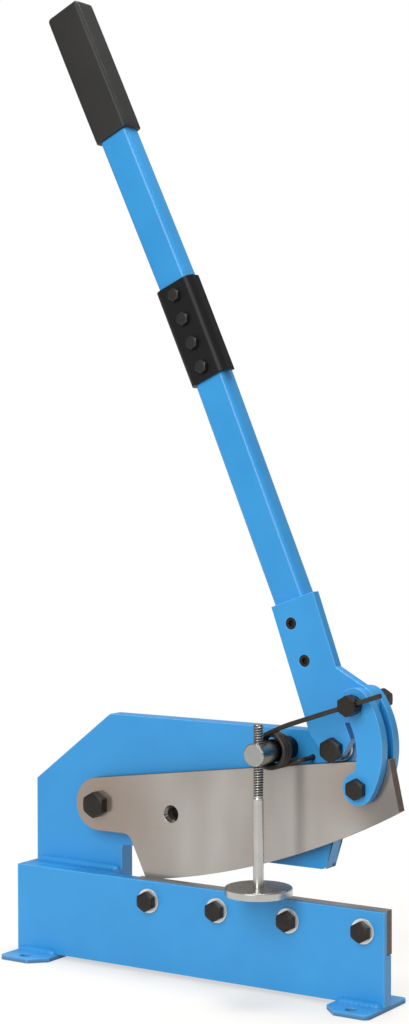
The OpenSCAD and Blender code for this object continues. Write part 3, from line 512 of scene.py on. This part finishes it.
def openMouth(points):
    # the bar hole's coned mouth in the copy is drawn out to the width and depth that show
    s = mouthSettings
    x, _, z = [(a + b) / 2 for a, b in zip(*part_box(s["around"]))]
    off = points[:, [0, 2]] - [x, z]
    reach = np.linalg.norm(off, axis=1)
    depth = points[:, 1] - points[:, 1].min()
    near = reach < s["reachMm"] * mm
    rim = near & (depth < s["frontMm"] * mm)
    throat = near & ~rim & (depth < s["depthMm"] * mm)
    points[rim, 0] = x + off[rim, 0] / reach[rim] * s["rimMm"] * mm
    points[rim, 2] = z + off[rim, 1] / reach[rim] * s["rimMm"] * mm
    points[throat, 1] += s["depthMm"] * mm - depth[throat]


def easedMesh(node):
    # the node's triangles welded and cut across each hole, then those in one plane joined into one face
    source = nodes[node].data
    corners = np.empty(len(source.loops), int)
    source.loops.foreach_get("vertex_index", corners)
    points = np.round(nodePoints(node), easeSettings["weldDigits"])
    welded, index = np.unique(points, axis=0, return_inverse=True)
    triangles = index.reshape(-1)[corners].reshape(-1, 3)
    whole = (triangles != np.roll(triangles, 1, axis=1)).all(1)
    mesh = bpy.data.meshes.new(node + "_eased")
    mesh.from_pydata(welded, [], triangles[whole])
    work = bmesh.new()
    work.from_mesh(mesh)
    work.normal_update()
    axis = 2 if node in easeSettings["cutLevel"] else 0
    cuts = holeMiddles(*meshLoops(work), axis)
    across = [0, 0, 0]
    across[axis] = 1
    for middle in cuts:
        bmesh.ops.bisect_plane(work, geom=work.verts[:] + work.edges[:] + work.faces[:],
                               dist=weldSettings["nearM"], plane_co=[middle * a for a in across], plane_no=across)
    work.normal_update()
    loops, normal, points = meshLoops(work)
    work.free()

    def onCut(u, v):
        return any(max(abs(points[end][axis] - cut) for end in (u, v)) < easeSettings["onCutM"] for cut in cuts)

    faces = flatFaces(loops, normal, points, onCut)
    if node == mouthSettings["node"]:
        openMouth(points)
    mesh.clear_geometry()
    mesh.from_pydata(points, [], faces)
    mesh.polygons.foreach_set("use_smooth", np.ones(len(mesh.polygons), bool))
    return mesh


def easePiece(node, widthMm):
    mesh = easedMesh(node)
    finish = ownFinishes.get(node, finishes[slotOf[node]])
    piece = addPiece(node + "_eased", mesh, finish[:3 if node in edgeAxes else 2], node)
    if node in edgeAxes:
        facing = faceValues(mesh, "normal")
        side = np.linalg.norm(facing[:, edgeAxes[node]], axis=1) > easeSettings["sideFacing"]
        kind = np.where(side, 2, 0)
        if node == mouthSettings["node"]:
            mesh.materials.append(polishedSteel)
            least, most = mouthSettings["coneFacing"]
            kind[(np.abs(facing[:, 1]) > least) & (np.abs(facing[:, 1]) < most)] = 3
        mesh.polygons.foreach_set("material_index", kind)
    bevel = piece.modifiers.new("easedEdge", "BEVEL")
    bevel.width = widthMm * mm
    bevel.segments = easeSettings["segments"]
    bevel.limit_method = "ANGLE"
    bevel.angle_limit = math.radians(easeSettings["sharpDeg"])
    bevel.use_clamp_overlap = False
    # eased edges take the second material; on painted parts that is the paler enamel, partly a painted highlight
    bevel.material = 1
    bevel.harden_normals = True


for node, widthMm in easedEdges.items():
    easePiece(node, widthMm)
print("eased pieces:", len(easedEdges))


# bolts and nuts

boltSettings = {"columns": 60, "crownShare": 0.47, "crownDeg": 28, "capShare": 0.6, "seatMm": (0.4, 0.3),
                "chamferMm": 0.8, "threadMm": 14, "pitchShare": 0.14, "depthShare": 0.06, "rowsPerPitch": 6,
                "neckMm": 1, "runOutMm": 0.2, "boreShare": 0.99, "mouthShare": 0.05}
# the sizes of hexagon heads: across flats from the thread's diameter, and height as a share of it
hexSettings = {"flatsShare": 1.5, "flatsMm": 1, "heightShare": 0.64}
boltSizes = {"blade_bolt_1": 12, "blade_bolt_2": 12, "blade_bolt_3": 12, "blade_bolt_4": 12,
             "blade_pivot_bolt": 16, "lever_pivot_bolt": 14, "link_bolt": 12,
             "sleeve_bolt_1": 8, "sleeve_bolt_2": 8, "sleeve_bolt_3": 8, "sleeve_bolt_4": 8}
nutSizes = {"blade_pivot_nut": 16, "lever_pivot_nut": 14, "shaft_nut": 16, "link_nut": 12,
            "ear_nut": 12, "ear_lock_nut": 12,
            "sleeve_nut_1": 8, "sleeve_nut_2": 8, "sleeve_nut_3": 8, "sleeve_nut_4": 8}


def hexReach(turn, flats):
    # half the flats over the cosine of the angle from the nearest flat's middle
    sector = math.pi / 3
    return flats / 2 / np.cos((turn + sector / 2) % sector - sector / 2)


def hexCrown(d):
    # The hexagon's reach round the turn, the circle inside it, and the drop from that circle to the hexagon of a
    # cone about the same axis.
    turn = np.linspace(0, 2 * math.pi, boltSettings["columns"], endpoint=False)
    flats = hexSettings["flatsShare"] * d + hexSettings["flatsMm"]
    crown, hexagon = boltSettings["crownShare"] * flats, hexReach(turn, flats)
    drop = (hexagon - crown) * math.tan(math.radians(boltSettings["crownDeg"]))
    return turn, crown, hexagon, drop


def roundGrid(middle, reach, depth):
    # rows of points round an axis along y: reach and depth are rows by columns, in millimetres
    turn = np.linspace(0, 2 * math.pi, reach.shape[1], endpoint=False)
    x, _, z = middle
    return np.stack([x + reach * mm * np.cos(turn), depth * mm, z + reach * mm * np.sin(turn)], axis=2)


def boltGrid(middle, front, back, d):
    # Rows run from the head's middle over its crown, down the flats and along the shank to the tip.
    # The crown is a cone cut through the hexagon, and the thread a ripple that climbs with the turn.
    turn, crown, hexagon, drop = hexCrown(d)
    ones = np.ones(boltSettings["columns"])
    base = front + hexSettings["heightShare"] * d
    chamfer, pitch = boltSettings["chamferMm"], boltSettings["pitchShare"] * d
    end = back - chamfer
    start = max(end - boltSettings["threadMm"], base + boltSettings["neckMm"])
    steps = np.linspace(start, end, int((end - start) / pitch * boltSettings["rowsPerPitch"]))
    ripple = 0.5 - 0.5 * np.cos(2 * math.pi * steps[:, None] / pitch - turn[None, :])
    thread = d / 2 - boltSettings["depthShare"] * d * ripple
    inset, rise = boltSettings["seatMm"]
    reach = [0 * ones, boltSettings["capShare"] * crown * ones, crown * ones, hexagon, hexagon, hexagon - inset,
             d / 2 * ones, d / 2 * ones]
    depth = [front * ones, front * ones, front * ones, front + drop, (base - rise) * ones, base * ones,
             base * ones, (start - boltSettings["runOutMm"]) * ones]
    reach = np.concatenate([reach, thread, [(d / 2 - chamfer) * ones, 0 * ones]])
    depth = np.concatenate([depth, np.repeat(steps[:, None], len(turn), 1), [back * ones, back * ones]])
    return roundGrid(middle, reach, depth)


def nutGrid(middle, front, back, d):
    # a hexagon with a coned crown on both faces, closed round its bore
    _, crown, hexagon, drop = hexCrown(d)
    ones = np.ones(boltSettings["columns"])
    bore, inset = d / 2 * boltSettings["boreShare"], boltSettings["mouthShare"] * d
    mouth = d / 2 + inset
    reach = np.array([bore * ones, mouth * ones, crown * ones, hexagon, hexagon, crown * ones, mouth * ones,
                      bore * ones])
    depth = np.array([(front + inset) * ones, front * ones, front * ones, front + drop, back - drop, back * ones,
                      back * ones, (back - inset) * ones])
    return roundGrid(middle, reach, depth)


def boxMiddle(node):
    low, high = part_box(node)
    return [(a + b) / 2 for a, b in zip(low, high)], low[1] / mm, high[1] / mm


def boltFinish(node):
    # the sleeve's fasteners are painted, all others oxide black
    return blackPaint if node.startswith("sleeve") else blackOxide


for node, d in boltSizes.items():
    middle, front, back = boxMiddle(node)
    addPiece(node + "_turned", gridMesh(node, boltGrid(middle, front, back, d)), [boltFinish(node)], node)
for node, d in nutSizes.items():
    middle, front, back = boxMiddle(node)
    addPiece(node + "_turned", gridMesh(node, nutGrid(middle, front, back, d), wrapRows=True), [boltFinish(node)],
             node)
print("bolts and nuts:", len(boltSizes) + len(nutSizes))

washerSettings = {"count": 4, "innerMm": 6.2, "outerMm": 13, "roundMm": 0.5, "columns": 64, "rows": 5}


def washerGrid(middle, front, back):
    # a rounded rectangle carried round the bolt's axis
    quarter = np.linspace(0, math.pi / 2, washerSettings["rows"])
    turn = np.concatenate([quarter + k * math.pi / 2 for k in range(4)])
    r = washerSettings["roundMm"]
    inner, outer = washerSettings["innerMm"], washerSettings["outerMm"]
    reach = (inner + outer) / 2 + np.sign(np.cos(turn - tiny)) * ((outer - inner) / 2 - r) + r * np.cos(turn)
    depth = (front + back) / 2 + np.sign(np.sin(turn - tiny)) * ((back - front) / 2 - r) + r * np.sin(turn)
    ones = np.ones((1, washerSettings["columns"]))
    return roundGrid(middle, reach[:, None] * ones, depth[:, None] * ones)


for i in range(washerSettings["count"]):
    node = f"blade_washer_{i + 1}"
    middle, front, back = boxMiddle(node)
    addPiece(node + "_turned", gridMesh(node, washerGrid(middle, front, back), wrapRows=True), [whiteZinc], node)
print("washers:", washerSettings["count"])

# hold-down screw: rolled thread on its upper part, plain below

screwSettings = {"d": 11, "pitchMm": 2.6, "depthMm": 1.2, "flank": 1.25, "crest": 0.15, "rootShare": 0.5,
                 "threadTopMm": 1.0, "threadLengthMm": 76, "runOutTurns": 2, "runOutMm": 0.2, "plainMm": 1.0,
                 "columns": 40, "rowsPerPitch": 8, "chamferMm": 1.0, "sharpDeg": 50}


def screwGrid():
    # Radius along the height: full below, then a thread that climbs one pitch for each turn.
    low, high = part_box("hold_down_screw")
    x, y = (low[0] + high[0]) / 2, (low[1] + high[1]) / 2
    s = screwSettings
    turn = np.linspace(0, 2 * math.pi, s["columns"], endpoint=False)
    top = high[2] / mm
    end, start = top - s["threadTopMm"], top - s["threadTopMm"] - s["threadLengthMm"]
    rows = np.linspace(start, end, int(s["threadLengthMm"] / s["pitchMm"] * s["rowsPerPitch"]))
    fade = np.clip((rows - start) / (s["runOutTurns"] * s["pitchMm"]), 0, 1)[:, None]
    wave = np.abs(((rows[:, None] / s["pitchMm"] - turn[None, :] / (2 * math.pi)) % 1) * 2 - 1)
    thread = s["d"] / 2 - s["depthMm"] * fade * np.clip(s["flank"] * wave - s["crest"], 0, 1)
    ones = np.ones((1, s["columns"]))
    bottom = low[2] / mm
    reach = np.concatenate([0 * ones, s["d"] / 2 * ones, s["d"] / 2 * ones, thread,
                            (s["d"] / 2 - s["chamferMm"]) * ones, 0 * ones])
    height = np.concatenate([bottom * ones, bottom * ones, (start - s["runOutMm"]) * ones,
                             rows[:, None] * ones, top * ones, top * ones])
    return np.stack([x + reach * mm * np.cos(turn), y + reach * mm * np.sin(turn), height * mm], axis=2)


def rootFaces(mesh):
    # faces in the thread's roots, by their distance from the axis, away from both ends
    s = screwSettings
    low, high = [np.array(corner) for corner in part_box("hold_down_screw")]
    middles = faceValues(mesh, "center")
    reach = np.linalg.norm((middles - (low + high) / 2)[:, :2], axis=1) / mm
    deep = reach < s["d"] / 2 - s["rootShare"] * s["depthMm"]
    aboveFoot = middles[:, 2] > low[2] + s["plainMm"] * mm
    belowTop = middles[:, 2] < high[2] - s["threadTopMm"] * mm
    return deep & aboveFoot & belowTop


screwMesh = gridMesh("hold_down_screw", screwGrid(), sharpDeg=screwSettings["sharpDeg"])
addPiece("hold_down_screw_threaded", screwMesh, [paleZinc, darkRootZinc], "hold_down_screw")
screwMesh.polygons.foreach_set("material_index", rootFaces(screwMesh).astype(int))
print("hold-down screw threaded")

# return spring

springSettings = {"wireMm": 5, "coilMm": 17, "gapMm": 0.6, "startDeg": -72, "sweepDeg": 1253, "tailMm": 25,
                  "tailBendMm": 6, "kinkMm": 29, "bendMm": 9, "overMm": 38, "ringsPerTurn": 48, "tailRings": 9,
                  "bendRings": 10, "sides": 16, "leastAcross": 0.3, "sharpDeg": 50}


def unitXz(deg):
    # the direction at an angle in the upright plane, square to y
    return np.array([math.cos(math.radians(deg)), 0.0, math.sin(math.radians(deg))])


def springPath():
    # Tail out of the frame plate, a bend, the coil at a steady pitch, then the bent arm through the ear bolt.
    s = springSettings
    shaft = np.array(joints["spring_wind"]["pos_m"]) / mm
    ear = np.array(joints["ear_bolt_turn"]["pos_m"]) / mm
    low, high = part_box("return_spring")
    ySpan = (s["wireMm"] + s["gapMm"]) * s["sweepDeg"] / 360
    armY = low[1] / mm + s["wireMm"] / 2
    backY = armY + ySpan
    level = np.array([1.0, 0.0, 1.0])
    shaft, ear, yAxis = shaft * level, ear * level, np.array([0.0, 1.0, 0.0])
    along = unitXz(s["startDeg"] + 90)
    tailEnd = shaft + s["coilMm"] * unitXz(s["startDeg"]) + s["tailMm"] * along
    bend = np.radians(np.linspace(0, 90, s["tailRings"]))[:, None]
    tailBend = tailEnd - s["tailBendMm"] * (1 - np.cos(bend)) * along \
        + (backY + s["tailBendMm"] * (1 - np.sin(bend))) * yAxis
    tail = np.array([tailEnd + (high[1] / mm) * yAxis])
    t = np.linspace(0, 1, int(s["sweepDeg"] / 360 * s["ringsPerTurn"]))[:, None]
    angle = np.radians(s["startDeg"] - t * s["sweepDeg"])
    coil = shaft + s["coilMm"] * np.concatenate([np.cos(angle), 0 * t, np.sin(angle)], axis=1) \
        + (backY + (armY - backY) * t) * yAxis
    endDeg = s["startDeg"] - s["sweepDeg"]
    kink = shaft + s["coilMm"] * unitXz(endDeg) + s["kinkMm"] * unitXz(endDeg - 90) + armY * yAxis
    onward = (ear + armY * yAxis - kink) / np.linalg.norm(ear + armY * yAxis - kink)
    a, b = kink - s["bendMm"] * unitXz(endDeg - 90), kink + s["bendMm"] * onward
    u = np.linspace(0, 1, s["bendRings"])[:, None]
    arc = (1 - u) ** 2 * a + 2 * u * (1 - u) * kink + u ** 2 * b
    tip = np.array([ear + armY * yAxis + s["overMm"] * onward])
    return np.concatenate([tail, tailBend, coil, arc, tip]), unitXz(s["startDeg"] + 180), backY, armY


def tubeGrid(path, flatSide):
    # A circle carried along the path: its side vectors are square to the line, one of them across the coil's axis.
    # Where the line runs along that axis, in the tail, a fixed side is taken.
    d, sides = springSettings["wireMm"], springSettings["sides"]
    step = np.gradient(path, axis=0)
    step /= np.linalg.norm(step, axis=1, keepdims=True)
    across = np.cross(np.array([0.0, 1.0, 0.0]), step)
    size = np.linalg.norm(across, axis=1, keepdims=True)
    across = np.where(size > springSettings["leastAcross"], across / np.maximum(size, tiny), flatSide)
    up = np.cross(step, across)
    turn = np.linspace(0, 2 * math.pi, sides, endpoint=False)[None, :, None]
    ring = path[:, None, :] + d / 2 * (np.cos(turn) * across[:, None, :] + np.sin(turn) * up[:, None, :])
    first, last = path[:1, None, :].repeat(sides, 1), path[-1:, None, :].repeat(sides, 1)
    return np.concatenate([first, ring, last]) * mm


path, flatSide, backY, armY = springPath()
springMesh = gridMesh("return_spring", tubeGrid(path, flatSide), sharpDeg=springSettings["sharpDeg"])
spring = addPiece("return_spring_wound", springMesh, [temperedWire], "return_spring", rides=False)
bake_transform(spring)
print("spring wound")

# weld beads

beadSettings = {"ripplesMm": 6, "rippleDepth": 0.045, "lag": 0.9, "wander": 0.12, "driftMm": (11, 4.7),
                "driftShare": 0.6, "phaseStep": 1.3, "endMm": 7, "rowMm": 0.4, "arc": 10, "sharpDeg": 70}


def beadGrid(node, phase):
    # A quarter round carried along x. Its radius swells in overlapping ripples that lag towards the edges,
    # wanders slowly, and runs out to nothing at both ends.
    s = beadSettings
    low, high = [np.array(corner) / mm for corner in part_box(node)]
    leg = high[2] - low[2]
    x = np.linspace(low[0], high[0], int((high[0] - low[0]) / s["rowMm"]))[:, None]
    a = np.linspace(0, math.pi / 2, s["arc"])[None, :]
    lag = s["lag"] * np.sin(2 * a)
    ripple = np.abs(np.sin(math.pi * x / s["ripplesMm"] + lag + phase))
    slow, quick = s["driftMm"]
    drift = np.sin(x / slow + phase) + s["driftShare"] * np.sin(x / quick + 2 * phase)
    thinner = s["rippleDepth"] * (1 - ripple) + s["wander"] * (1 - drift / (1 + s["driftShare"])) / 2
    out = np.clip(np.minimum(x - low[0], high[0] - x) / s["endMm"], 0, 1)
    r = leg * np.sqrt(1 - (1 - out) ** 2) * (1 - thinner)
    back, bottom = high[1], low[2]
    face = np.stack([x + 0 * r, back - r * np.cos(a), bottom + r * np.sin(a)], axis=2)
    root = np.stack([x[:, 0], 0 * x[:, 0] + back, 0 * x[:, 0] + bottom], axis=1)[:, None, :]
    return np.concatenate([root, face], axis=1) * mm


for k, node in enumerate(["column_weld", "left_foot_weld", "right_foot_weld"]):
    bead = beadGrid(node, beadSettings["phaseStep"] * k)
    addPiece(node + "_bead", gridMesh(node, bead, sharpDeg=beadSettings["sharpDeg"]), [blueEnamel], node)
print("weld beads laid")

# grip

gripSettings = {"cornerMm": 5, "leastCornerMm": 0.6, "topMm": 5, "lipMm": 1.2, "footMm": 4.0, "swellMm": 0.35,
                "swellPower": 0.5, "corner": 12, "lipRows": 5, "wallRows": 24, "topRows": 9, "sharpDeg": 40}


def roundedLoop(w, d, r, count):
    # four quarter circles, their middles set in from the corners of a rectangle
    quarter = np.linspace(0, math.pi / 2, count)
    turn = np.concatenate([quarter + k * math.pi / 2 for k in range(4)])
    side = np.repeat([1, -1, -1, 1], count)
    end = np.repeat([1, 1, -1, -1], count)
    return np.stack([side * (w / 2 - r) + r * np.cos(turn), end * (d / 2 - r) + r * np.sin(turn)], axis=1)


def longAxis(node):
    # the direction in which the node's points spread most, pointing up
    points = nodePoints(node)
    axis = np.linalg.svd(points - points.mean(0), full_matrices=False)[2][0]
    axis = axis * np.sign(axis[2])
    across = np.cross([0.0, 1.0, 0.0], axis)
    frameAxes = np.array([across, [0.0, 1.0, 0.0], axis])
    local = points @ frameAxes.T
    return frameAxes, local.min(0) / mm, local.max(0) / mm


def gripGrid():
    # A rounded rectangle carried up the bar. Its edge is lipped at the foot and drawn in along a quarter circle
    # at the top, and its sides swell a little in the middle.
    s = gripSettings
    axes, low, high = longAxis("grip")
    w, d = high[0] - low[0], high[1] - low[1]
    middle = (low + high) / 2
    lip = np.linspace(0, math.pi / 2, s["lipRows"])
    top = np.linspace(0, math.pi / 2, s["topRows"])
    wall = np.linspace(low[2] + s["lipMm"], high[2] - s["topMm"], s["wallRows"])
    inset = np.concatenate([[s["footMm"]], s["lipMm"] * (1 - np.sin(lip)), 0 * wall,
                            s["topMm"] * (1 - np.cos(top))])
    height = np.concatenate([[low[2]], low[2] + s["lipMm"] * (1 - np.cos(lip)), wall,
                             high[2] - s["topMm"] * (1 - np.sin(top))])
    share = np.clip((height - low[2]) / (high[2] - low[2]), 0, 1)
    inset = inset + s["swellMm"] * (1 - np.sin(math.pi * share) ** s["swellPower"])
    corner = np.maximum(s["cornerMm"] - inset, s["leastCornerMm"])
    rings = np.array([np.c_[roundedLoop(w - 2 * i, d - 2 * i, r, s["corner"]), np.full(4 * s["corner"], h)]
                      for i, r, h in zip(inset, corner, height)])
    rings[:, :, :2] += middle[:2]
    crownTop = np.tile([middle[0], middle[1], high[2]], (1, 4 * s["corner"], 1))
    return np.concatenate([rings, crownTop]) @ axes * mm


addPiece("grip_moulded", gridMesh("grip", gripGrid(), sharpDeg=gripSettings["sharpDeg"]), [gripVinyl], "grip")
print("grip moulded")


# stage, light and camera

# White paper that glows more with distance from the object, so that it runs into the white behind.
# Light that it throws back at the object is a little greyer than the paper looks.
stageSettings = {"floor": "#f8f4ec", "bounce": "#c9c5be", "reachM": 6.0, "glowM": (0.22, 0.6), "leastGlow": 0.54}


def makeStage():
    reach = stageSettings["reachM"]
    mesh = bpy.data.meshes.new("floor")
    mesh.from_pydata([(-reach, -reach, 0), (reach, -reach, 0), (reach, reach, 0), (-reach, reach, 0)], [],
                     [(0, 1, 2, 3)])
    floor = bpy.data.objects.new("floor", mesh)
    bpy.context.scene.collection.objects.link(floor)
    material, tree, place = newMaterial("paper_sweep_white")
    rays = addNode(tree, "ShaderNodeLightPath").outputs
    seen = addNode(tree, "ShaderNodeMath", {0: rays["Is Camera Ray"], 1: rays["Is Glossy Ray"]},
                   operation="MAXIMUM")
    paper = addNode(tree, "ShaderNodeMix", {"Factor": seen.outputs["Value"], "A": linear(stageSettings["bounce"]),
                                            "B": linear(stageSettings["floor"])}, data_type="RGBA")
    matte = addNode(tree, "ShaderNodeBsdfDiffuse", {"Color": paper.outputs["Result"]})
    glow = addNode(tree, "ShaderNodeEmission", {"Color": (1, 1, 1, 1), "Strength": 1.0})
    distance = addNode(tree, "ShaderNodeVectorMath", {0: place}, operation="LENGTH")
    near, far = stageSettings["glowM"]
    rise = addNode(tree, "ShaderNodeMapRange", {
        "Value": distance.outputs["Value"], "From Min": near, "From Max": far,
        "To Min": stageSettings["leastGlow"]}, interpolation_type="SMOOTHSTEP")
    share = addNode(tree, "ShaderNodeMath", {0: rise.outputs["Result"], 1: seen.outputs["Value"]},
                    operation="MULTIPLY")
    both = addNode(tree, "ShaderNodeMixShader", {0: share.outputs["Value"], 1: matte.outputs[0],
                                                 2: glow.outputs[0]})
    addNode(tree, "ShaderNodeOutputMaterial", {"Surface": both.outputs[0]})
    mesh.materials.append(material)


worldSettings = {"soft": 0.34, "seen": 1.0}


def makeWorld():
    world = bpy.data.worlds.new("studio")
    world.use_nodes = True
    tree = world.node_tree
    tree.nodes.clear()
    rays = addNode(tree, "ShaderNodeLightPath").outputs
    seen = addNode(tree, "ShaderNodeMath", {0: rays["Is Camera Ray"], 1: rays["Is Transmission Ray"]},
                   operation="MAXIMUM")
    soft = addNode(tree, "ShaderNodeBackground", {"Color": (1, 1, 1, 1), "Strength": worldSettings["soft"]})
    white = addNode(tree, "ShaderNodeBackground", {"Color": (1, 1, 1, 1), "Strength": worldSettings["seen"]})
    both = addNode(tree, "ShaderNodeMixShader", {0: seen.outputs["Value"], 1: soft.outputs[0], 2: white.outputs[0]})
    addNode(tree, "ShaderNodeOutputWorld", {"Surface": both.outputs[0]})
    bpy.context.scene.world = world


lampSettings = {
    "key": {"at": (0.3, -5.2, 2.9), "to": (0, 0, 0.4), "size": (3.0, 4.4), "watts": 240},
    "fill": {"at": (2.2, -1.6, 1.2), "to": (0, 0, 0.4), "size": (0.35, 0.35), "watts": 1.4},
    "top": {"at": (0.0, 0.4, 2.8), "to": (0, 0, 0.1), "size": (1.1, 1.1), "watts": 52}}


def makeLamps():
    for name, s in lampSettings.items():
        lamp = bpy.data.lights.new(name, "AREA")
        lamp.shape = "RECTANGLE"
        lamp.size, lamp.size_y = s["size"]
        lamp.energy = s["watts"]
        holder = bpy.data.objects.new(name, lamp)
        holder.location = s["at"]
        aim = np.array(s["to"]) - np.array(s["at"])
        level = math.hypot(aim[0], aim[1])
        holder.rotation_euler = (math.atan2(level, -aim[2]), 0, math.atan2(-aim[0], aim[1]))
        bpy.context.scene.collection.objects.link(holder)


cameraSettings = {"at": (1.17816, -1.7715, 0.54557), "yawDeg": 33.306, "downDeg": 1.33, "rollDeg": -0.13,
                  "lensMm": 70.93, "sensorMm": 36}


def makeCamera():
    s = cameraSettings
    camera = bpy.data.cameras.new("camera")
    camera.lens = s["lensMm"]
    camera.sensor_width = s["sensorMm"]
    holder = bpy.data.objects.new("camera", camera)
    holder.location = s["at"]
    turn = Euler((math.radians(90 - s["downDeg"]), 0, math.radians(s["yawDeg"]))).to_matrix()
    roll = Euler((0, 0, math.radians(s["rollDeg"]))).to_matrix()
    holder.rotation_euler = (turn @ roll).to_euler()
    bpy.context.scene.collection.objects.link(holder)
    bpy.context.scene.camera = holder


makeStage()
makeWorld()
makeLamps()
makeCamera()
bpy.context.scene.view_settings.view_transform = "Standard"
print("stage, light and camera set")
